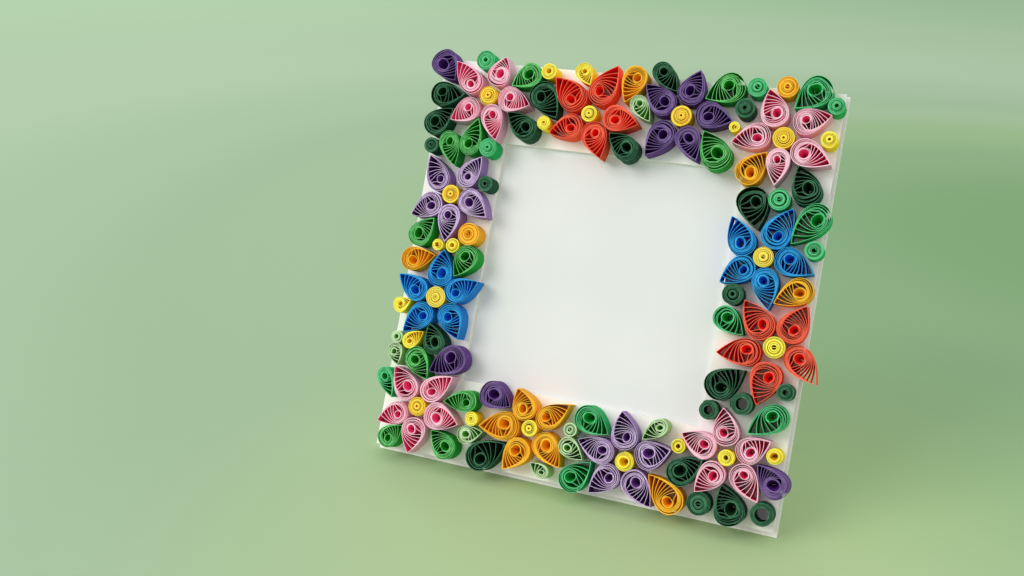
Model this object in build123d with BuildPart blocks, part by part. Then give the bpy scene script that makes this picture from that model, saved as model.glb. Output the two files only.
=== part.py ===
"""Standing photo frame of white card, its front bars covered with quilled paper flowers and leaves.

Millimetres, +Z up. X runs along the bars, and the picture faces -Y.
The origin lies on the table, at the middle of the back board's bottom edge, on its rear corner.
"""

import os
from math import cos, pi, radians, sin, tan

from build123d import *

os.makedirs("parts", exist_ok=True)

# Front ring: a square of card with a square window
ring_side = 150
bar_width = 30
ring_thickness = 2

# Back board, a little longer than the ring at the bottom and on the right
back_thickness = 2
back_lip_bottom = 1
back_lip_right = 1

# Pocket between the ring and the back board, kept open by three strips
pocket_depth = 1.5
spacer_width = 20
spacer_inset = 3
sheet_thickness = 0.5
sheet_side_gap = 0.5
sheet_height = 124

# Stand: a folded leg glued on the back, and a paper tie that stops it from sliding out
lean = 22
leg_thickness = 2
leg_width = 46
leg_tab_low = 86
leg_fold_height = 112
leg_reach = 86
tie_thickness = 0.4
tie_width = 14
tie_height = 16
tie_tab = 12

# Quilled rolls: each stands on the ring with its paper strip on edge
strip_width = 7
roll_gap = 0.1
drop_points = 12
roll_points = 12
core_points = 6

# Teardrop roll: where its eye lies and how far its turns spread towards the pinched tip
drop_belly = 1.299
eye_from_back = 0.47
eye_radius = 0.2
left = -1

# Flowers and leaves are laid out in 150ths of the ring's side, so they keep their places on it
unit = ring_side / 150

# Planes of the leaning stack
up_y = sin(radians(lean))
up_z = cos(radians(lean))
stack = back_thickness + pocket_depth + ring_thickness
back_face = Plane(origin=(0, 0, 0), x_dir=(1, 0, 0), z_dir=(0, -up_z, up_y))
board_front = back_face.offset(back_thickness)
lip_rise = (0, back_lip_bottom * up_y, back_lip_bottom * up_z)
pocket_front = Plane(
    origin=Vector(*lip_rise) + back_face.z_dir * (back_thickness + pocket_depth),
    x_dir=(1, 0, 0),
    z_dir=back_face.z_dir,
)
ring_face = pocket_front.offset(ring_thickness)


def turns(points):
    """Even angles round a full turn, the first one at the tip."""
    return [2 * pi * step / points for step in range(points)]


def drop(x, y, turn, length, width, side=1):
    """A loose roll pinched at one end, its turns spread apart on the right of the tip or the left."""
    long = length * unit - roll_gap
    wide = width * unit - roll_gap
    outline = [
        (long / 2 * cos(a), drop_belly * wide / 2 * sin(a) * sin(a / 2)) for a in turns(drop_points)
    ]
    eye_x = -long / 2 + eye_from_back * wide
    reach = long / 2 - eye_x
    eye = [
        (eye_x + eye_radius * wide * cos(a), eye_radius * wide * sin(a)) for a in turns(core_points)
    ]
    inner_gap = [
        (eye_x + 0.24 * reach, 0.28 * wide * side),
        (eye_x + 0.47 * reach, -0.27 * wide * side),
        (eye_x + 0.3 * reach, -0.33 * wide * side),
    ]
    outer_gap = [
        (eye_x + 0.4 * reach, 0.26 * wide * side),
        (eye_x + 0.77 * reach, -0.1 * wide * side),
        (eye_x + 0.55 * reach, -0.23 * wide * side),
    ]
    with Locations(Location((x * unit, y * unit, 0), (0, 0, turn))):
        Polygon(*outline, align=None)
        Polygon(*eye, align=None, mode=Mode.SUBTRACT)
        Polygon(*inner_gap, align=None, mode=Mode.SUBTRACT)
        Polygon(*outer_gap, align=None, mode=Mode.SUBTRACT)


def roll(x, y, diameter, hole):
    """A round roll with an open middle."""
    radius = (diameter * unit - roll_gap) / 2
    inside = hole * unit / 2
    with Locations((x * unit, y * unit)):
        Polygon(*[(radius * cos(a), radius * sin(a)) for a in turns(roll_points)], align=None)
        Polygon(
            *[(inside * cos(a), inside * sin(a)) for a in turns(core_points)],
            align=None,
            mode=Mode.SUBTRACT,
        )


def save(part, name):
    """Label one node and write its file."""
    part.label = name
    export_step(part, f"parts/{name}.step")


# Back board: stands on its bottom edge, which is cut level with the table
with BuildPart() as back_board:
    with BuildSketch(back_face):
        with Locations((-ring_side / 2, -back_thickness)):
            Rectangle(
                ring_side + back_lip_right,
                ring_side + back_lip_bottom + back_thickness,
                align=Align.MIN,
            )
    extrude(amount=back_thickness)
    split(bisect_by=Plane.XY, keep=Keep.TOP)
save(back_board.part, "back_board")

# Spacer strips: they keep the pocket open for a picture, which slides in from the top
strip_x = ring_side / 2 - spacer_inset - spacer_width / 2
strip_length = ring_side - 2 * spacer_inset
with BuildPart() as spacer_left:
    with BuildSketch(pocket_front):
        with Locations((-strip_x, ring_side / 2)):
            Rectangle(spacer_width, strip_length)
    extrude(amount=-pocket_depth)
save(spacer_left.part, "spacer_left")

with BuildPart() as spacer_right:
    with BuildSketch(pocket_front):
        with Locations((strip_x, ring_side / 2)):
            Rectangle(spacer_width, strip_length)
    extrude(amount=-pocket_depth)
save(spacer_right.part, "spacer_right")

pocket_width = ring_side - 2 * (spacer_inset + spacer_width)
with BuildPart() as spacer_bottom:
    with BuildSketch(pocket_front):
        with Locations((0, spacer_inset)):
            Rectangle(pocket_width, spacer_width, align=(Align.CENTER, Align.MIN))
    extrude(amount=-pocket_depth)
save(spacer_bottom.part, "spacer_bottom")

# White sheet that lies in the pocket, flat against the ring
with BuildPart() as picture_sheet:
    with BuildSketch(pocket_front):
        with Locations((0, spacer_inset + spacer_width)):
            Rectangle(
                pocket_width - 2 * sheet_side_gap, sheet_height, align=(Align.CENTER, Align.MIN)
            )
    extrude(amount=-sheet_thickness)
save(picture_sheet.part, "picture_sheet")

# Front ring: one piece of card with the window cut out
with BuildPart() as front_ring:
    with BuildSketch(pocket_front):
        with Locations((0, ring_side / 2)):
            Rectangle(ring_side, ring_side)
            Rectangle(ring_side - 2 * bar_width, ring_side - 2 * bar_width, mode=Mode.SUBTRACT)
    extrude(amount=ring_thickness)
save(front_ring.part, "front_ring")

# Leg: one piece of card, its top folded over into a tab glued on the back board
tab_low = (leg_tab_low * up_y, leg_tab_low * up_z)
fold = (leg_fold_height * up_y, leg_fold_height * up_z)
leg_slope = (leg_reach - fold[0]) / fold[1]
with BuildPart() as easel_leg:
    with BuildSketch(Plane.YZ):
        with BuildLine():
            Polyline(tab_low, fold, (leg_reach + 3 * leg_slope, -3))
            offset(amount=leg_thickness, side=Side.RIGHT)
        make_face()
    extrude(amount=leg_width / 2, both=True)
    split(bisect_by=Plane.XY, keep=Keep.TOP)
save(easel_leg.part, "easel_leg")

# Tie: a paper strip with both ends folded up, glued on the back board and inside the leg
leg_front = leg_reach - leg_thickness * (1 + leg_slope**2) ** 0.5
tie_level = tie_height * up_z
tie_top = tie_level + tie_tab
with BuildPart() as leg_tie:
    with BuildSketch(Plane.YZ):
        with BuildLine():
            Polyline(
                ((tie_height + tie_tab) * up_y, (tie_height + tie_tab) * up_z),
                (tie_height * up_y, tie_level),
                (leg_front - tie_level * leg_slope, tie_level),
                (leg_front - tie_top * leg_slope, tie_top),
            )
            offset(amount=tie_thickness, side=Side.LEFT)
        make_face()
    extrude(amount=tie_width / 2, both=True)
save(leg_tie.part, "leg_tie")

# Flowers: five teardrop petals pointing out from a round middle.
# A petal is placed by its middle, the turn of its tip, its length and its width.

# Top bar, from the left: pink, red, purple, pink
with BuildPart() as pink_flower_top_left:
    with BuildSketch(ring_face):
        drop(-61.9, 142.5, 135, 15, 9)
        drop(-49, 145.5, 75, 11.5, 9, left)
        drop(-41.5, 135, -10, 13, 9.5)
        drop(-48.5, 126, -70, 14, 8.5)
        drop(-60.5, 129, -145, 12.5, 9, left)
    extrude(amount=strip_width)
save(pink_flower_top_left.part, "pink_flower_top_left")

with BuildPart() as pink_middle_top_left:
    with BuildSketch(ring_face):
        roll(-52, 136, 7.5, 1)
    extrude(amount=strip_width)
save(pink_middle_top_left.part, "pink_middle_top_left")

with BuildPart() as red_flower_top:
    with BuildSketch(ring_face):
        drop(-21, 140, 140, 15.5, 10.5)
        drop(-7.5, 144, 65, 16, 10)
        drop(0, 132, -10, 13.5, 9.5, left)
        drop(-8, 123.5, -65, 14, 9.5)
        drop(-20, 127, -155, 13, 9)
    extrude(amount=strip_width)
save(red_flower_top.part, "red_flower_top")

with BuildPart() as red_middle_top:
    with BuildSketch(ring_face):
        roll(-12, 133, 6, 1)
    extrude(amount=strip_width)
save(red_middle_top.part, "red_middle_top")

with BuildPart() as purple_flower_top:
    with BuildSketch(ring_face):
        drop(24, 146, 75, 13, 9.5)
        drop(12.5, 141, 140, 14, 9.5, left)
        drop(14.5, 126.5, -120, 14.5, 9.5)
        drop(26, 126, -60, 13, 9)
        drop(33, 136.5, -10, 13.5, 9.5, left)
    extrude(amount=strip_width)
save(purple_flower_top.part, "purple_flower_top")

with BuildPart() as purple_middle_top:
    with BuildSketch(ring_face):
        roll(21.5, 135.5, 7.5, 1)
    extrude(amount=strip_width)
save(purple_middle_top.part, "purple_middle_top")

with BuildPart() as pink_flower_top_right:
    with BuildSketch(ring_face):
        drop(52.5, 141.5, 110, 13.5, 9.5, left)
        drop(66, 138.5, 20, 13, 9)
        drop(67.5, 126.5, -20, 14.5, 9.5, left)
        drop(57, 121.4, -90, 13, 8, left)
        drop(46.5, 130.5, -160, 13.5, 9)
    extrude(amount=strip_width)
save(pink_flower_top_right.part, "pink_flower_top_right")

with BuildPart() as pink_middle_top_right:
    with BuildSketch(ring_face):
        roll(57.5, 131.5, 7.5, 1)
    extrude(amount=strip_width)
save(pink_middle_top_right.part, "pink_middle_top_right")

# Left bar, from the top: lilac, blue, pink in the corner
with BuildPart() as lilac_flower_left:
    with BuildSketch(ring_face):
        drop(-67.5, 105, 120, 15, 9, left)
        drop(-53.5, 107, 60, 13.5, 8.5, left)
        drop(-50, 94.5, -35, 14, 9.5, left)
        drop(-59, 86.5, -90, 14.5, 9, left)
        drop(-69, 91.5, -145, 13.5, 9.5)
    extrude(amount=strip_width)
save(lilac_flower_left.part, "lilac_flower_left")

with BuildPart() as lilac_middle_left:
    with BuildSketch(ring_face):
        roll(-60, 97.5, 7, 1)
    extrude(amount=strip_width)
save(lilac_middle_left.part, "lilac_middle_left")

with BuildPart() as blue_flower_left:
    with BuildSketch(ring_face):
        drop(-58.5, 69.5, 90, 14, 10, left)
        drop(-48.8, 63.1, 30, 14, 9, left)
        drop(-50.5, 50.5, -60, 14, 9.5, left)
        drop(-64.6, 49.3, -130, 14.5, 9.5)
        drop(-69, 61.5, 150, 14, 9)
    extrude(amount=strip_width)
save(blue_flower_left.part, "blue_flower_left")

with BuildPart() as blue_middle_left:
    with BuildSketch(ring_face):
        roll(-58.5, 58.5, 8, 1)
    extrude(amount=strip_width)
save(blue_middle_left.part, "blue_middle_left")

with BuildPart() as pink_flower_bottom_left:
    with BuildSketch(ring_face):
        drop(-65.2, 25.2, 130, 14, 9.5, left)
        drop(-51.5, 26, 40, 14.5, 9, left)
        drop(-47.7, 15, -10, 14, 10, left)
        drop(-58, 6.5, -95, 13.5, 9.5, left)
        drop(-67.5, 12.5, -150, 13, 8.5)
    extrude(amount=strip_width)
save(pink_flower_bottom_left.part, "pink_flower_bottom_left")

with BuildPart() as pink_middle_bottom_left:
    with BuildSketch(ring_face):
        roll(-58, 17.5, 7.5, 1)
    extrude(amount=strip_width)
save(pink_middle_bottom_left.part, "pink_middle_bottom_left")

# Bottom bar, from the left: orange, lilac, pink in the corner
with BuildPart() as orange_flower_bottom:
    with BuildSketch(ring_face):
        drop(-17.5, 26.1, 120, 12, 9)
        drop(-5.5, 24.5, 40, 14, 8.5)
        drop(-5.1, 11.5, -45, 14, 9.5)
        drop(-17.5, 7.5, -120, 13.5, 9.5, left)
        drop(-25.1, 16.6, -170, 15.5, 10.5, left)
    extrude(amount=strip_width)
save(orange_flower_bottom.part, "orange_flower_bottom")

with BuildPart() as orange_middle_bottom:
    with BuildSketch(ring_face):
        roll(-13.5, 18, 6, 1)
    extrude(amount=strip_width)
save(orange_middle_bottom.part, "orange_middle_bottom")

with BuildPart() as lilac_flower_bottom:
    with BuildSketch(ring_face):
        drop(20.5, 24, 105, 13.5, 9.5, left)
        drop(11.5, 16, 165, 14, 9, left)
        drop(16, 5.5, -130, 13.5, 9)
        drop(29, 5.2, -45, 14.5, 9.5)
        drop(32, 18, 25, 13, 10)
    extrude(amount=strip_width)
save(lilac_flower_bottom.part, "lilac_flower_bottom")

with BuildPart() as lilac_middle_bottom:
    with BuildSketch(ring_face):
        roll(22.5, 13.5, 7, 3.6)
    extrude(amount=strip_width)
save(lilac_middle_bottom.part, "lilac_middle_bottom")

with BuildPart() as pink_flower_bottom_right:
    with BuildSketch(ring_face):
        drop(54.5, 32, 105, 13, 9)
        drop(46.4, 25, 160, 13, 9, left)
        drop(51.6, 13.9, -125, 13, 9)
        drop(64.5, 14.8, -50, 14, 9)
        drop(65, 26.6, 35, 12.5, 9, left)
    extrude(amount=strip_width)
save(pink_flower_bottom_right.part, "pink_flower_bottom_right")

with BuildPart() as pink_middle_bottom_right:
    with BuildSketch(ring_face):
        roll(56.5, 22, 6, 1.8)
    extrude(amount=strip_width)
save(pink_middle_bottom_right.part, "pink_middle_bottom_right")

# Right bar: red below blue
with BuildPart() as red_flower_right:
    with BuildSketch(ring_face):
        drop(58.5, 69.5, 130, 15, 10, left)
        drop(71.5, 70, 65, 14, 10, left)
        drop(54.5, 57.5, -170, 15, 9.5, left)
        drop(64.5, 48.5, -100, 15, 10.5)
        drop(76, 56.5, -45, 15, 9.5)
    extrude(amount=strip_width)
save(red_flower_right.part, "red_flower_right")

with BuildPart() as red_middle_right:
    with BuildSketch(ring_face):
        roll(66, 61, 7.5, 1.8)
    extrude(amount=strip_width)
save(red_middle_right.part, "red_middle_right")

with BuildPart() as blue_flower_right:
    with BuildSketch(ring_face):
        drop(61.5, 101, 65, 15.5, 10, left)
        drop(48.4, 96.7, 120, 14.5, 9.5)
        drop(49.4, 84.3, -140, 13.5, 9)
        drop(60, 80, -75, 14.5, 9, left)
        drop(68, 89.5, -20, 14, 9.5)
    extrude(amount=strip_width)
save(blue_flower_right.part, "blue_flower_right")

with BuildPart() as blue_middle_right:
    with BuildSketch(ring_face):
        roll(57.5, 90.5, 7, 1)
    extrude(amount=strip_width)
save(blue_middle_right.part, "blue_middle_right")

# Leaves and small rolls between the flowers, one node to a colour on each bar.
# A leaf is a teardrop; a round roll is placed by its middle, its diameter and its hole.

# Top bar
with BuildPart() as purple_rolls_top:
    with BuildSketch(ring_face):
        drop(-71.1, 145.5, -50, 13.5, 10.5, left)
    extrude(amount=strip_width)
save(purple_rolls_top.part, "purple_rolls_top")

with BuildPart() as grass_leaves_top:
    with BuildSketch(ring_face):
        drop(-38.5, 144, -145, 12.5, 9, left)
        drop(35, 146, -150, 14.5, 10.5, left)
        drop(34.5, 125, 125, 15, 10.5, left)
    extrude(amount=strip_width)
save(grass_leaves_top.part, "grass_leaves_top")

with BuildPart() as dark_leaves_top:
    with BuildSketch(ring_face):
        drop(-68.5, 135, 5, 14, 9.5)
        drop(-37.5, 126.5, 145, 14, 9, left)
        drop(-29, 136, -50, 15.5, 10.5, left)
        drop(2, 123, 145, 13, 9, left)
        drop(14, 148.5, -45, 13, 7.5)
        roll(43, 140.5, 7, 2)
    extrude(amount=strip_width)
save(dark_leaves_top.part, "dark_leaves_top")

with BuildPart() as emerald_rolls_top:
    with BuildSketch(ring_face):
        drop(64.5, 147, -135, 14.5, 10.5, left)
        roll(-55.6, 149.1, 7.5, 2)
        roll(46, 148, 7, 1.8)
        roll(73, 144, 6, 1.6)
    extrude(amount=strip_width)
save(emerald_rolls_top.part, "emerald_rolls_top")

with BuildPart() as yellow_rolls_top:
    with BuildSketch(ring_face):
        drop(-16, 147, -55, 9, 6.5)
        roll(-30, 147, 6, 2.4)
        roll(-28.5, 128, 5.5, 1.2)
        roll(40.5, 133.5, 4, 1.6)
        roll(72.5, 132.5, 6, 1.2)
    extrude(amount=strip_width)
save(yellow_rolls_top.part, "yellow_rolls_top")

with BuildPart() as orange_rolls_top:
    with BuildSketch(ring_face):
        drop(2, 145, -105, 14, 9)
        roll(56, 149, 7.5, 1.6)
    extrude(amount=strip_width)
save(orange_rolls_top.part, "orange_rolls_top")

with BuildPart() as pale_leaf_top:
    with BuildSketch(ring_face):
        drop(7, 136.5, -50, 11, 6.5)
    extrude(amount=strip_width)
save(pale_leaf_top.part, "pale_leaf_top")

# Left bar
with BuildPart() as dark_leaves_left:
    with BuildSketch(ring_face):
        drop(-70, 125, 45, 13.5, 9.5)
        drop(-56.6, 43.2, 115, 12, 8.5, left)
        roll(-71.5, 115, 6, 1.6)
        roll(-47, 103, 6, 1.6)
    extrude(amount=strip_width)
save(dark_leaves_left.part, "dark_leaves_left")

with BuildPart() as grass_leaves_left:
    with BuildSketch(ring_face):
        drop(-63.5, 114.5, -65, 14, 8)
        drop(-55.5, 120, 80, 14.5, 8.5)
        drop(-68.5, 82.5, 55, 13, 9)
        drop(-50, 73, -115, 13, 9, left)
        drop(-60.5, 33, -50, 13.5, 9, left)
    extrude(amount=strip_width)
save(grass_leaves_left.part, "grass_leaves_left")

with BuildPart() as emerald_rolls_left:
    with BuildSketch(ring_face):
        drop(-72, 24, -60, 12, 6.5, left)
        roll(-48.5, 116.5, 7, 1.2)
    extrude(amount=strip_width)
save(emerald_rolls_left.part, "emerald_rolls_left")

with BuildPart() as orange_rolls_left:
    with BuildSketch(ring_face):
        drop(-68.5, 72, 15, 14, 9, left)
        roll(-50, 83.5, 8.5, 1.6)
    extrude(amount=strip_width)
save(orange_rolls_left.part, "orange_rolls_left")

with BuildPart() as yellow_rolls_left:
    with BuildSketch(ring_face):
        drop(-71.5, 54, 30, 7.5, 6)
        drop(-64.5, 42, 40, 9.5, 6, left)
        roll(-61.5, 78, 4.5, 1.8)
        roll(-55.5, 78.5, 5.5, 2.2)
    extrude(amount=strip_width)
save(yellow_rolls_left.part, "yellow_rolls_left")

with BuildPart() as pale_rolls_left:
    with BuildSketch(ring_face):
        drop(-70.5, 35, -70, 8.5, 6, left)
        roll(-71.1, 41.5, 5, 2.2)
    extrude(amount=strip_width)
save(pale_rolls_left.part, "pale_rolls_left")

with BuildPart() as purple_leaf_left:
    with BuildSketch(ring_face):
        drop(-49.5, 35.5, -145, 15.5, 10.5, left)
    extrude(amount=strip_width)
save(purple_leaf_left.part, "purple_leaf_left")

# Bottom bar
with BuildPart() as purple_leaves_bottom:
    with BuildSketch(ring_face):
        drop(-28, 26.5, -20, 13, 10)
        drop(72, 17.5, 140, 13.5, 9.5)
    extrude(amount=strip_width)
save(purple_leaves_bottom.part, "purple_leaves_bottom")

with BuildPart() as grass_leaves_bottom:
    with BuildSketch(ring_face):
        drop(-66.5, 5.4, 45, 11.5, 8, left)
        drop(-41.5, 22.5, -170, 13, 8)
        drop(-46, 6, 140, 12.5, 9, left)
    extrude(amount=strip_width)
save(grass_leaves_bottom.part, "grass_leaves_bottom")

with BuildPart() as dark_leaves_bottom:
    with BuildSketch(ring_face):
        drop(-28, 6, 35, 16.5, 10.5, left)
        drop(43.7, 15.3, 40, 13.9, 9.5)
        drop(59.5, 6.5, 115, 14, 10.5, left)
        roll(50, 4.9, 8.5, 1.8)
        roll(71, 6, 8, 5)
    extrude(amount=strip_width)
save(dark_leaves_bottom.part, "dark_leaves_bottom")

with BuildPart() as emerald_leaves_bottom:
    with BuildSketch(ring_face):
        drop(9, 24.5, -25, 14, 9.5)
        drop(6.5, 5.5, 50, 14, 9.5)
    extrude(amount=strip_width)
save(emerald_leaves_bottom.part, "emerald_leaves_bottom")

with BuildPart() as yellow_rolls_bottom:
    with BuildSketch(ring_face):
        roll(-36, 17, 5.5, 1.2)
        roll(40, 22.5, 5, 1.8)
        roll(72, 25.5, 5.5, 3.2)
    extrude(amount=strip_width)
save(yellow_rolls_bottom.part, "yellow_rolls_bottom")

with BuildPart() as pale_rolls_bottom:
    with BuildSketch(ring_face):
        drop(-35.5, 11.5, 20, 10, 6.5)
        drop(3.2, 13.6, -30, 10.5, 7, left)
        drop(-7.5, 4.5, 155, 8, 5)
        drop(31, 26, -135, 10.5, 6)
        roll(1.5, 20.5, 5, 1.6)
    extrude(amount=strip_width)
save(pale_rolls_bottom.part, "pale_rolls_bottom")

with BuildPart() as orange_leaf_bottom:
    with BuildSketch(ring_face):
        drop(37.7, 5.9, 140, 16, 10)
    extrude(amount=strip_width)
save(orange_leaf_bottom.part, "orange_leaf_bottom")

# Right bar
with BuildPart() as orange_leaves_right:
    with BuildSketch(ring_face):
        drop(49, 120.5, 55, 13.5, 9.5, left)
        drop(69, 79.5, -145, 14, 9)
    extrude(amount=strip_width)
save(orange_leaves_right.part, "orange_leaves_right")

with BuildPart() as dark_leaves_right:
    with BuildSketch(ring_face):
        drop(67, 116.5, 115, 14, 10, left)
        drop(51.5, 106.5, -70, 15, 11)
        drop(52, 47, 40, 15, 10.5, left)
        roll(49.5, 76.5, 7.5, 1.6)
        roll(72, 47, 6, 1.6)
        roll(58.5, 40.5, 8, 4.4)
        roll(48, 36.5, 7, 3.6)
    extrude(amount=strip_width)
save(dark_leaves_right.part, "dark_leaves_right")

with BuildPart() as emerald_leaves_right:
    with BuildSketch(ring_face):
        drop(70.5, 103, -125, 17, 10)
        drop(50, 67, -35, 12.5, 8.5)
        drop(67.5, 36, -140, 15, 9.5, left)
        roll(59.5, 110.5, 7.5, 1.8)
        roll(73.5, 95, 6.5, 1.6)
    extrude(amount=strip_width)
save(emerald_leaves_right.part, "emerald_leaves_right")
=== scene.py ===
"""Quilled paper photo frame: white card frame, its front bars covered with wound paper rolls."""

import random
from itertools import combinations
from math import acos, atan2, cos, degrees, pi, radians, sin

import bmesh
import bpy
from mathutils import Matrix, Vector


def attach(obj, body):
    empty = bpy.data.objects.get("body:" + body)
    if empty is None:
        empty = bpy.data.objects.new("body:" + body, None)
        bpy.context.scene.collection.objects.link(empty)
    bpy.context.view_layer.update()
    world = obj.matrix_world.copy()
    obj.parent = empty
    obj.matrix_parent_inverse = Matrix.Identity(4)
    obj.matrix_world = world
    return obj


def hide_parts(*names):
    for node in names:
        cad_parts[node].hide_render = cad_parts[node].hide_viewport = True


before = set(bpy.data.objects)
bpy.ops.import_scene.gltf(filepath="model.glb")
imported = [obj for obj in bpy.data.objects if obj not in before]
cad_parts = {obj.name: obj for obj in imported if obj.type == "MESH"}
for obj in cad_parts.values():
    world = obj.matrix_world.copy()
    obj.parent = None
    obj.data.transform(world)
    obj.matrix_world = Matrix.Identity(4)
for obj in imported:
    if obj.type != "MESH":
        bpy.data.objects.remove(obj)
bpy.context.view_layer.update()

# Back board, spacers and front ring: white-lined grey board about 2 mm thick, cut with a knife
# and glued in a stack. The faces are smooth and white, with a little tooth and a few dull patches.
# The spacers are given a dark grey, which is painted shadow in the slot between board and ring.
card_white = (0.95, 0.935, 0.90, 1)
card_dull = (0.91, 0.885, 0.84, 1)
# Dark greys of painted shadow, for the spacers.
painted_shadow_grey = (0.22, 0.19, 0.15, 1)
painted_shadow_dark = (0.16, 0.135, 0.11, 1)


def paper_finish(name, pale, dull, patch_size, tooth_size, tooth_height, roughness):
    """Uncoated paper: two close tones in soft patches, a fine tooth in the bump."""
    finish = bpy.data.materials.new(name)
    finish.use_nodes = True
    nodes, links = finish.node_tree.nodes, finish.node_tree.links
    shader = nodes["Principled BSDF"]
    shader.inputs["Roughness"].default_value = roughness
    shader.inputs["Specular IOR Level"].default_value = 0.25
    place = nodes.new("ShaderNodeTexCoord")
    patches = nodes.new("ShaderNodeTexNoise")
    patches.inputs["Scale"].default_value = 1 / patch_size
    patches.inputs["Detail"].default_value = 3
    tones = nodes.new("ShaderNodeValToRGB")
    tones.color_ramp.elements[0].position = 0.35
    tones.color_ramp.elements[0].color = dull
    tones.color_ramp.elements[1].position = 0.6
    tones.color_ramp.elements[1].color = pale
    tooth = nodes.new("ShaderNodeTexNoise")
    tooth.inputs["Scale"].default_value = 1 / tooth_size
    tooth.inputs["Detail"].default_value = 4
    bump = nodes.new("ShaderNodeBump")
    bump.inputs["Strength"].default_value = 0.4
    bump.inputs["Distance"].default_value = tooth_height
    links.new(place.outputs["Object"], patches.inputs["Vector"])
    links.new(place.outputs["Object"], tooth.inputs["Vector"])
    links.new(patches.outputs["Fac"], tones.inputs["Fac"])
    links.new(tones.outputs["Color"], shader.inputs["Base Color"])
    links.new(tooth.outputs["Fac"], bump.inputs["Height"])
    links.new(bump.outputs["Normal"], shader.inputs["Normal"])
    return finish


def dress(node, finish):
    """The CAD piece keeps its shape and gets the finish."""
    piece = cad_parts[node]
    piece.data.materials.clear()
    piece.data.materials.append(finish)


card = paper_finish("white_card", card_white, card_dull, 0.03, 0.0006, 0.00005, 0.7)
for node in ("back_board", "front_ring"):
    dress(node, card)
# Painted shadow: the spacers' dark grey stands for the shade deep in the slot between board and ring.
painted_shadow_card = paper_finish("painted_shadow_card", painted_shadow_grey, painted_shadow_dark, 0.008, 0.0004, 0.0001, 0.9)
for node in ("spacer_left", "spacer_right", "spacer_bottom"):
    dress(node, painted_shadow_card)

# Easel leg: one strip of the same white card, scored and folded at the top. The tab above the fold
# is glued on the back board, and the foot stands on the table behind the frame.
dress("easel_leg", card)

# White sheet in the window and paper tie behind: thin white drawing paper, cut to size. The sheet is
# slid into the pocket from the top, the tie is glued by its folded ends on back board and leg.
paper_white = (0.77, 0.775, 0.78, 1)
paper_dull = (0.74, 0.745, 0.745, 1)
sheet_paper = paper_finish("white_paper", paper_white, paper_dull, 0.05, 0.0003, 0.00002, 0.8)
for node in ("picture_sheet", "leg_tie"):
    dress(node, sheet_paper)

# Pink flowers: teardrop petals wound from 7 mm paper strips. A strip is rolled up, let go loose in
# a round template, pinched at one point so that every turn gets a crease, and glued on its edge.
strip_width = 0.007
strip_thickness = 0.00016
strip_pitch = 1.03 * strip_thickness
drop_lift, round_lift = 0.00025, 0.0002
ring_foot = (0, -0.004725, 0.002987)
ring_tilt = radians(68)
ring_face = Matrix.Translation(ring_foot) @ Matrix.Rotation(ring_tilt, 4, "X")
drop_belly = 1.299
drop_facets = 0.974
drop_shape = 1.12
upright = Vector((0, 0))


def laid_rolls(node):
    """Where the node's rolls lie on the ring face, how large they are and on which side they open.
    A roll clearly longer than wide is a drop. Its facets cut its width, which is put right here."""
    bm = bmesh.new()
    bm.from_mesh(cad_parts[node].data)
    bmesh.ops.remove_doubles(bm, verts=bm.verts, dist=1e-6)
    bmesh.ops.transform(bm, matrix=ring_face.inverted(), verts=bm.verts)
    rolls = []
    left = set(bm.verts)
    while left:
        island, rim = set(), [left.pop()]
        while rim:
            vert = rim.pop()
            island.add(vert)
            rim += [v for edge in vert.link_edges for v in edge.verts if v in left]
            left -= set(rim)
        spots = sorted({(round(vert.co.x, 6), round(vert.co.y, 6)) for vert in island})
        spots = [Vector(spot) for spot in spots]
        ends = max(combinations(spots, 2), key=lambda pair: (pair[0] - pair[1]).length)
        tip, back = sorted(ends, key=lambda end: sorted((spot - end).length for spot in spots)[1])
        middle = sum(spots, Vector((0, 0))) / len(spots)
        along = (tip - back).normalized()
        length = (tip - back).length
        wide = 2 * max(abs(along.cross(spot - back)) for spot in spots)
        if length > drop_shape * wide:
            centre = (tip + back) / 2
            side = 1 if sum(along.cross(spot - back) for spot in spots) < 0 else -1
            turn = atan2(along.y, along.x)
            rolls.append(("drop", centre.x, centre.y, turn, length, wide / drop_facets, side))
        else:
            hole = min((spot - middle).length for spot in spots)
            rolls.append(("round", middle.x, middle.y, 0, length, hole, 1))
    bm.free()
    return sorted(rolls, key=lambda roll: -roll[2])


def ease(t):
    """From 0 to 1 with a soft start and end."""
    t = min(max(t, 0), 1)
    return t * t * (3 - 2 * t)


def drop_wall(length, width, a, depth):
    """A spot on the drop's outline, moved inwards by the depth, and the outline's heading there.
    The belly makes the curve as wide as the drop, and close to the tip the heading stays the same."""
    tip_end = 0.12
    near = min(max(a, tip_end), 2 * pi - tip_end)
    belly = drop_belly * width / 2
    spot = Vector((length / 2 * cos(a), belly * sin(a) * sin(a / 2)))
    along = -length / 2 * sin(near)
    across = belly * (cos(near) * sin(near / 2) + sin(near) * cos(near / 2) / 2)
    heading = Vector((along, across)).normalized()
    return spot + depth * Vector((-heading.y, heading.x)), heading


def bend(start, leave, arrive, end, steps):
    """A strip let free between two places, springing into an even curve."""
    spots = []
    for step in range(1, steps + 1):
        t = step / steps
        s = 1 - t
        spots.append(s**3 * start + 3 * s * s * t * leave + 3 * s * t * t * arrive + t**3 * end)
    return spots


def turn_depths(turns, rooms, chance):
    """How deep each turn lies behind and beside the eye, from the outside in. The turns share the
    room there unevenly: two or three stand well off, the others lie close."""
    well_off, outermost_off = 2, 3
    shares = [0.1 + 0.5 * chance.random() for turn in range(turns)]
    for turn in chance.sample(range(turns), min(chance.choice((2, 3, 3)), turns)):
        shares[turn] += well_off
    shares[0] += chance.choice((0, 0, 0, outermost_off))
    depths = []
    for room in rooms:
        depth = [strip_pitch / 2]
        for share in shares:
            depth.append(depth[-1] + strip_pitch + room * share / sum(shares))
        depths.append(depth)
    return depths


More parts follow.
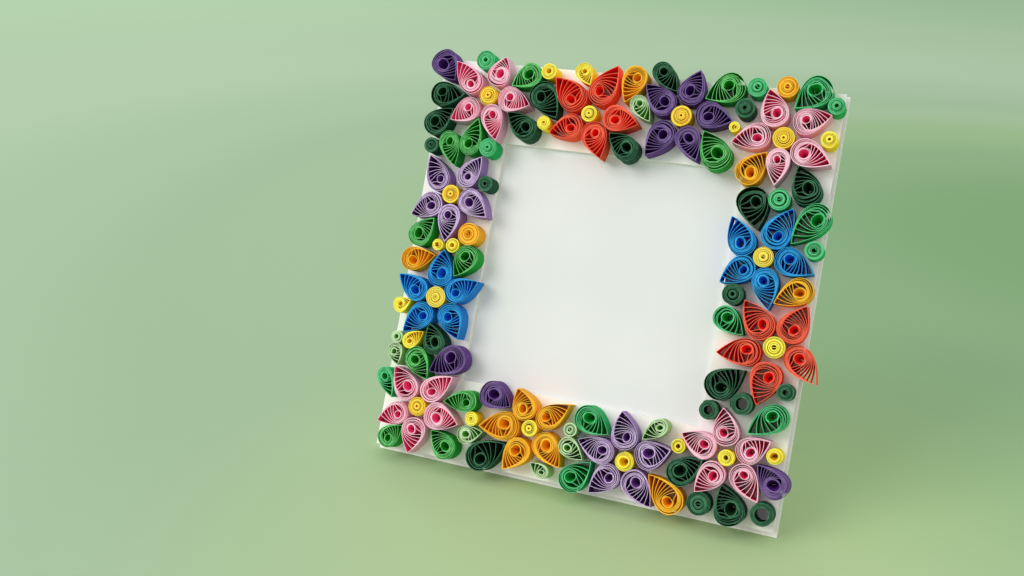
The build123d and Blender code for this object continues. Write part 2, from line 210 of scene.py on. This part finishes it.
def funnel(radius, shape, start, sunk, steps):
    """The innermost turn, slipped down the needle: its foot is drawn in by the share sunk."""
    lap, drawn_in = radians(400), 1.1 * strip_pitch
    line = []
    for step in range(steps):
        t = step / steps
        a = start - lap * (1 - t)
        spot = (radius - drawn_in * (1 - t)) * (shape @ Vector((cos(a), sin(a))))
        line.append((spot, -sunk * (1 - ease(4 * t - 3)) * spot))
    return line


def eye_line(eye, wraps, width, chance):
    """The strip's line round a drop's eye: the funnel, then the ring up to where the fan begins. The
    ring is a little oval and springs out where it leaves for the first crease."""
    bulge, bulge_at, bulge_spread = 0.05 * width, -75, 50
    fan_side, stride = radians(115), radians(14)
    end = 2 * pi * (wraps + 2) - fan_side
    start = end - 2 * pi * wraps - radians(chance.uniform(110, 250))
    turned = Matrix.Rotation(radians(chance.uniform(-40, 40)), 2)
    stretched = Matrix.Diagonal((chance.uniform(1, 1.15), chance.uniform(0.9, 1)))
    oval = turned.inverted() @ stretched @ turned
    line = funnel(eye, oval, start, 1 - chance.uniform(0.12, 0.22), 26)
    steps = int((end - start) / stride)
    for step in range(steps + 1):
        a = start + (end - start) * step / steps
        laps = (a - start) / (2 * pi)
        off = ((degrees(a) - bulge_at + 180) % 360 - 180) / bulge_spread
        spring = bulge * min(max(laps - 0.3, 0), 1) * 2.7 ** (-off * off)
        reach = eye + strip_pitch * laps + spring
        line.append((oval @ Vector((reach * cos(a), reach * sin(a))), upright))
    return line


def drop_path(length, width, side, fans, eye, chance):
    """The strip's line in a pinched roll, from its inner end outwards, the tip towards +X. Each spot
    says where it is, how far its turn stands up and how far its foot stands aside."""
    half = length / 2
    shoulder, hip = radians(106), radians(215)
    fan_low, fan_high = 0.45, 0.94
    in_tip, least_gap = 2 * pi, 1.35 * strip_pitch
    wraps = chance.choice((0, 0, 0, 1))
    eye = chance.uniform(0.9, 1.1) * eye * width
    from_back = chance.uniform(0.28, 0.33) * width + eye
    core = eye + strip_pitch * (1 + wraps)
    fans = min(chance.choice(fans), int((from_back - core) / least_gap) - 1)
    count = fans + chance.choice((1, 1, 2))
    slack = max(width / 2 - core - strip_pitch * count, 0)
    middle = Vector((from_back - half, 0.5 * slack))
    room = max(from_back - core - strip_pitch * count, 0)
    side_room = max(width / 2 - core - middle.y - strip_pitch * count, 0)
    back, flank = turn_depths(count, (room, side_room), chance)
    lifts = [drop_lift * chance.random() for turn in range(count + 2)]

    def crease(turn):
        """How far round the outline the turn's crease is, and how deep it lies. The turns that
        come after the fan have theirs in the tip."""
        depth = (count - turn - 0.5) * strip_pitch
        if turn >= fans:
            return in_tip, depth
        lowest = middle.x + fan_low * core
        return 2 * pi - acos((lowest + (fan_high * half - lowest) * turn / fans) / half), depth

    def wall(a, depth):
        return drop_wall(length, width, a, depth)

    # Round the eye, and from there to the first crease, on the side where the turns open
    path = [(middle + spot, lifts[0], foot) for spot, foot in eye_line(eye, wraps, width, chance)]
    ring_end = path[-1][0]
    ring_heading = (path[-1][0] - path[-2][0]).normalized()
    first, heading = wall(*crease(0))
    leave = ring_end + 0.1 * width * ring_heading
    arrive = first - 0.12 * width * heading
    path += [(spot, lifts[0], upright) for spot in bend(ring_end, leave, arrive, first, 6)]

    # Each turn: from its crease across to the shoulder on the closed side, round the back to the hip
    # and up to the next crease
    for turn in range(count):
        lift = lifts[turn + 1]
        a, depth = crease(turn)
        beside = flank[count - turn - 1]
        if a == in_tip:
            flat = [Vector((half - 1.6 * depth, 0))]
            for step in range(2, 13):
                t = step / 12
                flat.append(wall(shoulder * t, depth + (beside - depth) * ease(t))[0])
        else:
            corner, heading = wall(a, depth)
            landing, heading = wall(shoulder, beside)
            gap = (landing - corner).length
            arrive = landing - 0.42 * gap * heading
            leave = corner + 0.3 * gap * (arrive - corner).normalized()
            flat = [corner]
            for spot in bend(corner, leave, arrive, landing, 11):
                off = spot - middle
                nearest = core + (turn + 0.6) * strip_pitch
                flat.append(middle + off * max(nearest / off.length, 1))
        here, after = back[count - turn - 1], back[max(count - turn - 2, 0)]
        for step in range(1, 9):
            t = step / 8
            a = shoulder + (pi - shoulder) * t
            flat.append(wall(a, beside + (here - beside) * ease(t))[0])
        stop, last = crease(turn + 1) if turn + 1 < count else (in_tip, strip_pitch / 2)
        if stop == in_tip:
            stop -= 0.2
        for step in range(1, 14):
            a = pi + (stop - pi) * step / 14
            depth = here + (after - here) * step / 14
            t = ease((a - hip) / (stop - hip))
            flat.append(wall(a, depth + (last - depth) * t)[0])
        path += [(spot, lift, upright) for spot in flat]
    path.append((Vector((half - 1.5 * strip_thickness, 0)), lift, upright))
    mirror = Vector((1, side))
    return [(spot * mirror, lift, foot * mirror) for spot, lift, foot in path]


def round_path(diameter, hole, sunk, chance):
    """The strip's line in a round roll, from its inner end outwards; its middle stands up a little.
    In a wide hole the innermost turn has sunk to a funnel, in a narrow one it stays on the needle."""
    needle, wide_hole = 0.0003, 0.0009
    usual_gap, wide_share, raised_share = 1.25 * strip_thickness, 2.5, 3
    hole = max(hole, needle)
    turns = max(3, round((diameter / 2 - hole) / usual_gap))
    room = diameter / 2 - strip_thickness / 2 - hole
    loose = [0.5 + chance.random() for turn in range(turns)]
    for turn in chance.sample(range(turns), min(3, turns)):
        loose[turn] += wide_share
    raised = chance.randint(turns // 3, turns // 2)
    loose[raised] += raised_share
    radii = [hole]
    for share in loose:
        radii.append(radii[-1] + room * share / sum(loose))
    rise = chance.uniform(0.0002, 0.0007)
    lifts = [round_lift * chance.random() + (rise if turn < raised else 0) for turn in range(turns + 2)]
    start = chance.uniform(0, 2 * pi)
    if hole > wide_hole:
        line = funnel(hole, Matrix.Identity(2), start, sunk, 28)
    else:
        curled = ((0.85, 150), (0.4, 165), (0.4, -25))
        plain = ((0.75, -50), (0.85, -35), (0.95, -18))
        line = []
        for share, behind in chance.choice((curled, plain)):
            a = start + radians(behind)
            line.append((share * hole * Vector((cos(a), sin(a))), upright))
    path = [(spot, lifts[0], foot) for spot, foot in line]
    steps = 26
    for step in range(turns * steps + 1):
        turn, t = divmod(step, steps)
        t /= steps
        after = min(turn + 1, turns)
        reach = radii[turn] + (radii[after] - radii[turn]) * t
        lift = lifts[turn] + (lifts[turn + 1] - lifts[turn]) * t
        a = start + 2 * pi * step / steps
        path.append((reach * Vector((cos(a), sin(a))), lift, upright))
    return path


def wind(path):
    """A paper strip on edge along the path: a flat ribbon as wide as the paper is thick, drawn up.
    The outer face of the outermost turn keeps the wall's finish; every face within it gets the painted
    shade."""
    mitre, outer_spots, crisp = 0.6, 34, radians(40)
    bm = bmesh.new()
    last = len(path) - 1
    bmesh.ops.create_grid(bm, x_segments=last, y_segments=1, size=1)
    bm.verts.ensure_lookup_table()
    near, far = bm.verts[: last + 1], bm.verts[last + 1 :]
    spread = {}
    for i, (spot, lift, foot) in enumerate(path):
        before = (spot - path[max(i - 1, 0)][0]).normalized()
        after = (path[min(i + 1, last)][0] - spot).normalized()
        ahead = (before + after).normalized() if (before + after).length > 0.1 else before
        reach = strip_thickness / 2 / max(ahead.dot(after), ahead.dot(before), mitre)
        across = Vector((-ahead.y, ahead.x)) * reach
        for vert, offset in ((near[i], -across), (far[i], across)):
            vert.co = (*(spot + foot + offset), lift)
            spread[vert] = foot.to_3d()
    outer = set(near[last - outer_spots :] + far[last - outer_spots :])
    risen = bmesh.ops.extrude_face_region(bm, geom=bm.faces[:])["geom"]
    top = [item for item in risen if isinstance(item, bmesh.types.BMVert)]
    bmesh.ops.translate(bm, verts=top, vec=(0, 0, strip_width))
    for vert in top:
        below = next(edge.other_vert(vert) for edge in vert.link_edges if edge.other_vert(vert) in spread)
        vert.co -= spread[below]
    bmesh.ops.recalc_face_normals(bm, faces=bm.faces)
    for face in bm.faces:
        face.smooth = abs(face.normal.z) < 0.5
        outwards = face.normal.dot(face.calc_center_median().to_2d().to_3d()) > 0
        # Painted shade: faces turned in, or away from the outermost turn, get the deeper tone of finish 2.
        if face.normal.z > 0.5:
            face.material_index = 1
        elif not outwards or outer.isdisjoint(face.verts):
            face.material_index = 2
    for edge in bm.edges:
        edge.smooth = edge.calc_face_angle(0) < crisp
    return bm


def quill(node, paper, seed, fans=(5, 6, 6, 7), eye=0.186, sunk=0.9):
    """Winds every roll of a CAD node and stands the new strips in its place."""
    chance = random.Random(seed)
    mesh = bpy.data.meshes.new(f"{node}_strips")
    whole = bmesh.new()
    for kind, x, y, turn, length, across, side in laid_rolls(node):
        if kind == "drop":
            path = drop_path(length, across, side, fans, eye, chance)
        else:
            path = round_path(length, across, sunk, chance)
        roll = wind(path)
        place = ring_face @ Matrix.Translation((x, y, 0)) @ Matrix.Rotation(turn, 4, "Z")
        bmesh.ops.transform(roll, matrix=place, verts=roll.verts)
        part = bpy.data.meshes.new("roll")
        roll.to_mesh(part)
        roll.free()
        whole.from_mesh(part)
        bpy.data.meshes.remove(part)
    whole.to_mesh(mesh)
    whole.free()
    for finish in paper:
        mesh.materials.append(finish)
    piece = bpy.data.objects.new(f"{node}_quilled", mesh)
    bpy.context.scene.collection.objects.link(piece)
    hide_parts(node)
    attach(piece, "root")
    return piece


def strip_papers(name, wall, painted_gap_shade, edge):
    """A strip's three finishes: its outer wall, the pale cut edge, painted shade and bounce colour between
    the turns.
    """
    worn = [0.9 * tone for tone in wall[:3]] + [1]
    # Painted shade and bounce colour between the turns: the deeper tone and its dull patches.
    shaded = [0.9 * tone for tone in painted_gap_shade[:3]] + [1]
    cut = [(pale + deep) / 2 for pale, deep in zip(edge, wall)]
    return (
        paper_finish(f"{name}_wall", wall, worn, 0.006, 0.0002, 0.00002, 0.8),
        paper_finish(f"{name}_edge", edge, cut, 0.0014, 0.0002, 0.00002, 0.85),
        paper_finish(f"{name}_inside", painted_gap_shade, shaded, 0.006, 0.0002, 0.00002, 0.8),
    )


pink = strip_papers(
    "pink", wall=(0.97, 0.49, 0.68, 1), painted_gap_shade=(1, 0.1, 0.33, 1), edge=(0.98, 0.64, 0.75, 1)
)
quill("pink_flower_top_left", pink, seed=11)
quill("pink_flower_top_right", pink, seed=12)
quill("pink_flower_bottom_left", pink, seed=13)
quill("pink_flower_bottom_right", pink, seed=14)

# Red flowers, in the top bar and the right one: the same pinched petals wound from red-orange paper,
# five of them glued tip outwards round a yellow roll.
red = strip_papers(
    "red", wall=(1, 0.09, 0.03, 1), painted_gap_shade=(1, 0.012, 0.004, 1), edge=(0.95, 0.165, 0.095, 1)
)
quill("red_flower_top", red, seed=21)
quill("red_flower_right", red, seed=22)

# Purple flower in the top bar, and the purple leaves and the roll between the flowers. All are wound
# from dark violet paper and glued on edge like the rest.
purple = strip_papers(
    "purple", wall=(0.12, 0.045, 0.245, 1), painted_gap_shade=(0.075, 0.012, 0.185, 1), edge=(0.22, 0.14, 0.35, 1)
)
quill("purple_flower_top", purple, seed=31, fans=(5, 6, 6, 7), eye=0.2)
quill("purple_rolls_top", purple, seed=32, fans=(5, 6, 6, 7), eye=0.2)
quill("purple_leaf_left", purple, seed=33, fans=(5, 6, 6, 7), eye=0.2)
quill("purple_leaves_bottom", purple, seed=35, fans=(8, 8), eye=0.2)

# Lilac flowers, in the left bar and the bottom one: petals of pale violet paper, whose cut edges are
# much paler than the turns between them.
lilac = strip_papers(
    "lilac", wall=(0.36, 0.21, 0.53, 1), painted_gap_shade=(0.2, 0.058, 0.33, 1), edge=(0.69, 0.52, 0.79, 1)
)
quill("lilac_flower_left", lilac, seed=41)
quill("lilac_flower_bottom", lilac, seed=42)

# Blue flowers, in the left bar and the right one: petals of strong blue paper, glued tip outwards
# round a pale gold roll.
blue = strip_papers(
    "blue", wall=(0.01, 0.215, 0.69, 1), painted_gap_shade=(0.005, 0.175, 0.75, 1), edge=(0.038, 0.42, 0.84, 1)
)
quill("blue_flower_left", blue, seed=51)
quill("blue_flower_right", blue, seed=52)

# Orange flower in the bottom bar, and the orange leaves and rolls on all four bars: bright orange
# paper, let go a little wider in the template than most petals, so that the eye is larger.
orange = strip_papers(
    "orange", wall=(1, 0.44, 0.014, 1), painted_gap_shade=(1, 0.43, 0.005, 1), edge=(1, 0.56, 0.04, 1)
)
quill("orange_flower_bottom", orange, seed=61, eye=0.2)
quill("orange_rolls_top", orange, seed=62, eye=0.2)
quill("orange_rolls_left", orange, seed=63, eye=0.2)
quill("orange_leaf_bottom", orange, seed=67, eye=0.2)
quill("orange_leaves_right", orange, seed=65, eye=0.2)

# Lemon yellow flower middles and the small yellow rolls between the flowers: short strips wound
# tight, not pinched, their ends glued down, with the middle pushed up a little.
lemon = strip_papers(
    "lemon", wall=(1, 0.81, 0.012, 1), painted_gap_shade=(1, 0.66, 0.005, 1), edge=(1, 0.94, 0.12, 1)
)
for seed, node in enumerate(
    (
        "red_middle_top",
        "red_middle_right",
        "orange_middle_bottom",
        "lilac_middle_bottom",
        "pink_middle_bottom_right",
        "yellow_rolls_top",
        "yellow_rolls_left",
        "yellow_rolls_bottom",
    ),
    71,
):
    quill(node, lemon, seed=seed)

# Golden yellow middles of three pink flowers, the purple one and the left lilac one: the same round
# rolls, wound tight from deeper yellow paper.
golden = strip_papers(
    "golden", wall=(1, 0.65, 0.014, 1), painted_gap_shade=(0.96, 0.32, 0.004, 1), edge=(1, 0.78, 0.08, 1)
)
for seed, node in enumerate(
    (
        "pink_middle_top_left",
        "pink_middle_top_right",
        "pink_middle_bottom_left",
        "purple_middle_top",
        "lilac_middle_left",
    ),
    81,
):
    quill(node, golden, seed=seed)

# Middles of the two blue flowers: round rolls of pale gold paper, wound tight and glued in between
# the five petals.
pale_gold = strip_papers(
    "pale_gold", wall=(0.95, 0.72, 0.05, 1), painted_gap_shade=(0.9, 0.48, 0.02, 1), edge=(0.94, 0.8, 0.12, 1)
)
quill("blue_middle_left", pale_gold, seed=91)
quill("blue_middle_right", pale_gold, seed=92)

# Dark green leaves and rolls, on all four bars: dark paper with slightly paler cut edges. The wide
# round rolls at the bottom and on the right stay open down to the card.
dark_green = strip_papers(
    "dark_green", wall=(0.004, 0.076, 0.031, 1), painted_gap_shade=(0.002, 0.032, 0.008, 1), edge=(0.056, 0.19, 0.1, 1)
)
quill("dark_leaves_top", dark_green, seed=101, fans=(4, 5, 5, 6), eye=0.205)
quill("dark_leaves_left", dark_green, seed=102, fans=(4, 5, 5, 6), eye=0.205)
quill("dark_leaves_bottom", dark_green, seed=103, fans=(4, 5, 5, 6), eye=0.205, sunk=0)
quill("dark_leaves_right", dark_green, seed=104, fans=(4, 5, 5, 6), eye=0.205, sunk=0)

# Emerald leaves and rolls: large leaves let go wide, so that the eye is big and the fan has few
# turns, and tight round rolls between them.
emerald = strip_papers(
    "emerald", wall=(0.01, 0.47, 0.12, 1), painted_gap_shade=(0.003, 0.4, 0.05, 1), edge=(0.13, 0.6, 0.27, 1)
)
quill("emerald_rolls_top", emerald, seed=111, fans=(4, 5, 5), eye=0.215)
quill("emerald_rolls_left", emerald, seed=112, fans=(4, 5, 5), eye=0.215)
quill("emerald_leaves_bottom", emerald, seed=113, fans=(4, 5, 5), eye=0.215)
quill("emerald_leaves_right", emerald, seed=114, fans=(4, 5, 5), eye=0.215)

# Grass green leaves, at the top, on the left and at the bottom: pinched rolls like the petals, wound
# from mid green paper with pale cut edges.
grass = strip_papers(
    "grass", wall=(0.01, 0.37, 0.035, 1), painted_gap_shade=(0.005, 0.3, 0.007, 1), edge=(0.18, 0.62, 0.2, 1)
)
quill("grass_leaves_top", grass, seed=121, fans=(5, 6, 6), eye=0.2)
quill("grass_leaves_left", grass, seed=122, fans=(5, 6, 6), eye=0.2)
quill("grass_leaves_bottom", grass, seed=123, fans=(5, 6, 6), eye=0.2)

# Pale green leaves and rolls, the smallest ones: short strips of pale green paper, which make only a
# few turns.
pale_green = strip_papers(
    "pale_green", wall=(0.38, 0.63, 0.26, 1), painted_gap_shade=(0.2, 0.52, 0.09, 1), edge=(0.64, 0.82, 0.52, 1)
)
quill("pale_leaf_top", pale_green, seed=131, fans=(3, 4, 4), eye=0.205)
quill("pale_rolls_left", pale_green, seed=132, fans=(3, 4, 4), eye=0.205)
quill("pale_rolls_bottom", pale_green, seed=133, fans=(3, 4, 4), eye=0.205)

# Floor: plain pale green paper under and behind the frame. Painted into its colour are the frame's
# shadow and the lamp's falloff, deepest behind its right side and given by the distance from the
# deepest spot, and painted light with a warm reflection right in front of the frame.
floor_size = 6
painted_shadow_spot = (0.25, 0.5, 0)
painted_light_spot = (0.03, -0.03, 0)
painted_light_tint = (1.25, 1.15, 0.98, 1)
painted_light_core, painted_light_rim = 0.04, 0.2
floor_shade_tones = (
    (0.12, (0.199, 0.358, 0.173, 1)),
    (0.30, (0.24, 0.398, 0.214, 1)),
    (0.42, (0.29, 0.452, 0.238, 1)),
    (0.57, (0.336, 0.483, 0.3, 1)),
    (0.65, (0.326, 0.47, 0.304, 1)),
    (0.75, (0.348, 0.496, 0.327, 1)),
    (1.00, (0.384, 0.532, 0.36, 1)),
    (1.70, (0.371, 0.523, 0.341, 1)),
    (2.40, (0.339, 0.515, 0.319, 1)),
)
floor_bm = bmesh.new()
bmesh.ops.create_grid(floor_bm, x_segments=1, y_segments=1, size=floor_size)
floor_mesh = bpy.data.meshes.new("floor")
floor_bm.to_mesh(floor_mesh)
floor_bm.free()
floor = bpy.data.objects.new("floor", floor_mesh)
bpy.context.scene.collection.objects.link(floor)
floor_paper_and_shadow = bpy.data.materials.new("floor_paper_and_shadow")
floor_paper_and_shadow.use_nodes = True
nodes, links = floor_paper_and_shadow.node_tree.nodes, floor_paper_and_shadow.node_tree.links
shader = nodes["Principled BSDF"]
shader.inputs["Roughness"].default_value = 0.9
shader.inputs["Specular IOR Level"].default_value = 0.1
place = nodes.new("ShaderNodeTexCoord")
# Painted shadow of the frame and painted lamp falloff, by the distance from the deepest spot.
painted_shadow_reach = nodes.new("ShaderNodeVectorMath")
painted_shadow_reach.operation = "DISTANCE"
painted_shadow_reach.inputs[1].default_value = painted_shadow_spot
share = nodes.new("ShaderNodeMath")
share.operation = "DIVIDE"
share.inputs[1].default_value = floor_shade_tones[-1][0]
tones = nodes.new("ShaderNodeValToRGB")
tones.color_ramp.interpolation = "EASE"
tones.color_ramp.elements[0].position = floor_shade_tones[0][0] / floor_shade_tones[-1][0]
tones.color_ramp.elements[0].color = floor_shade_tones[0][1]
tones.color_ramp.elements[1].color = floor_shade_tones[-1][1]
for reach, tone in floor_shade_tones[1:-1]:
    tones.color_ramp.elements.new(reach / floor_shade_tones[-1][0]).color = tone
links.new(place.outputs["Object"], painted_shadow_reach.inputs[0])
links.new(painted_shadow_reach.outputs["Value"], share.inputs[0])
links.new(share.outputs["Value"], tones.inputs["Fac"])
# Painted light with a warm reflection, strongest right in front of the frame, lifting its contact shadow.
painted_light_reach = nodes.new("ShaderNodeVectorMath")
painted_light_reach.operation = "DISTANCE"
painted_light_reach.inputs[1].default_value = painted_light_spot
painted_light_fade = nodes.new("ShaderNodeMapRange")
painted_light_fade.interpolation_type = "SMOOTHSTEP"
painted_light_fade.inputs["From Min"].default_value = painted_light_core
painted_light_fade.inputs["From Max"].default_value = painted_light_rim
painted_light_fade.inputs["To Min"].default_value = 1
painted_light_fade.inputs["To Max"].default_value = 0
painted_light_tinted = nodes.new("ShaderNodeMix")
painted_light_tinted.data_type = "RGBA"
painted_light_tinted.blend_type = "MULTIPLY"
painted_light_tinted.inputs[7].default_value = painted_light_tint
links.new(place.outputs["Object"], painted_light_reach.inputs[0])
links.new(painted_light_reach.outputs["Value"], painted_light_fade.inputs["Value"])
links.new(painted_light_fade.outputs["Result"], painted_light_tinted.inputs["Factor"])
links.new(tones.outputs["Color"], painted_light_tinted.inputs[6])
links.new(painted_light_tinted.outputs[2], shader.inputs["Base Color"])
floor_mesh.materials.append(floor_paper_and_shadow)

# Light: a wide soft lamp at the upper left like a large window, a smaller one further back at the
# left, and an even pale surround like a white room.


def soft_lamp(name, place, aim, size, watts, colour):
    """A square lamp at the place, turned to the aim."""
    lamp = bpy.data.lights.new(name, "AREA")
    lamp.shape = "SQUARE"
    lamp.size = size
    lamp.energy = watts
    lamp.color = colour
    holder = bpy.data.objects.new(name, lamp)
    holder.location = place
    holder.rotation_euler = (Vector(aim) - Vector(place)).to_track_quat("-Z", "Y").to_euler()
    bpy.context.scene.collection.objects.link(holder)


soft_lamp("key", (-2.5, -3, 2.73), (0, 0, 0.07), 2.6, 114, (1, 0.985, 0.96))
soft_lamp("window", (-2.5, 2.5, 1.5), (-1.2, 1.5, 0), 1.5, 15, (1, 1, 1))
surround = bpy.data.worlds.new("surround")
surround.use_nodes = True
background = surround.node_tree.nodes["Background"]
background.inputs["Color"].default_value = (1, 1, 0.985, 1)
background.inputs["Strength"].default_value = 0.82
bpy.context.scene.world = surround
bpy.context.scene.view_settings.view_transform = "Standard"

# Camera: where the photograph was taken from, worked out from the corners of the board, of its
# window and of its bottom edge on the table.
camera_data = bpy.data.cameras.new("camera")
camera_data.sensor_width = 36
camera_data.lens = 38.62
camera_data.clip_start = 0.01
camera = bpy.data.objects.new("camera", camera_data)
camera.location = (0.10879, -0.33887, 0.19298)
camera.rotation_euler = (radians(71.608), radians(-2.175), radians(22.118))
bpy.context.scene.collection.objects.link(camera)
bpy.context.scene.camera = camera
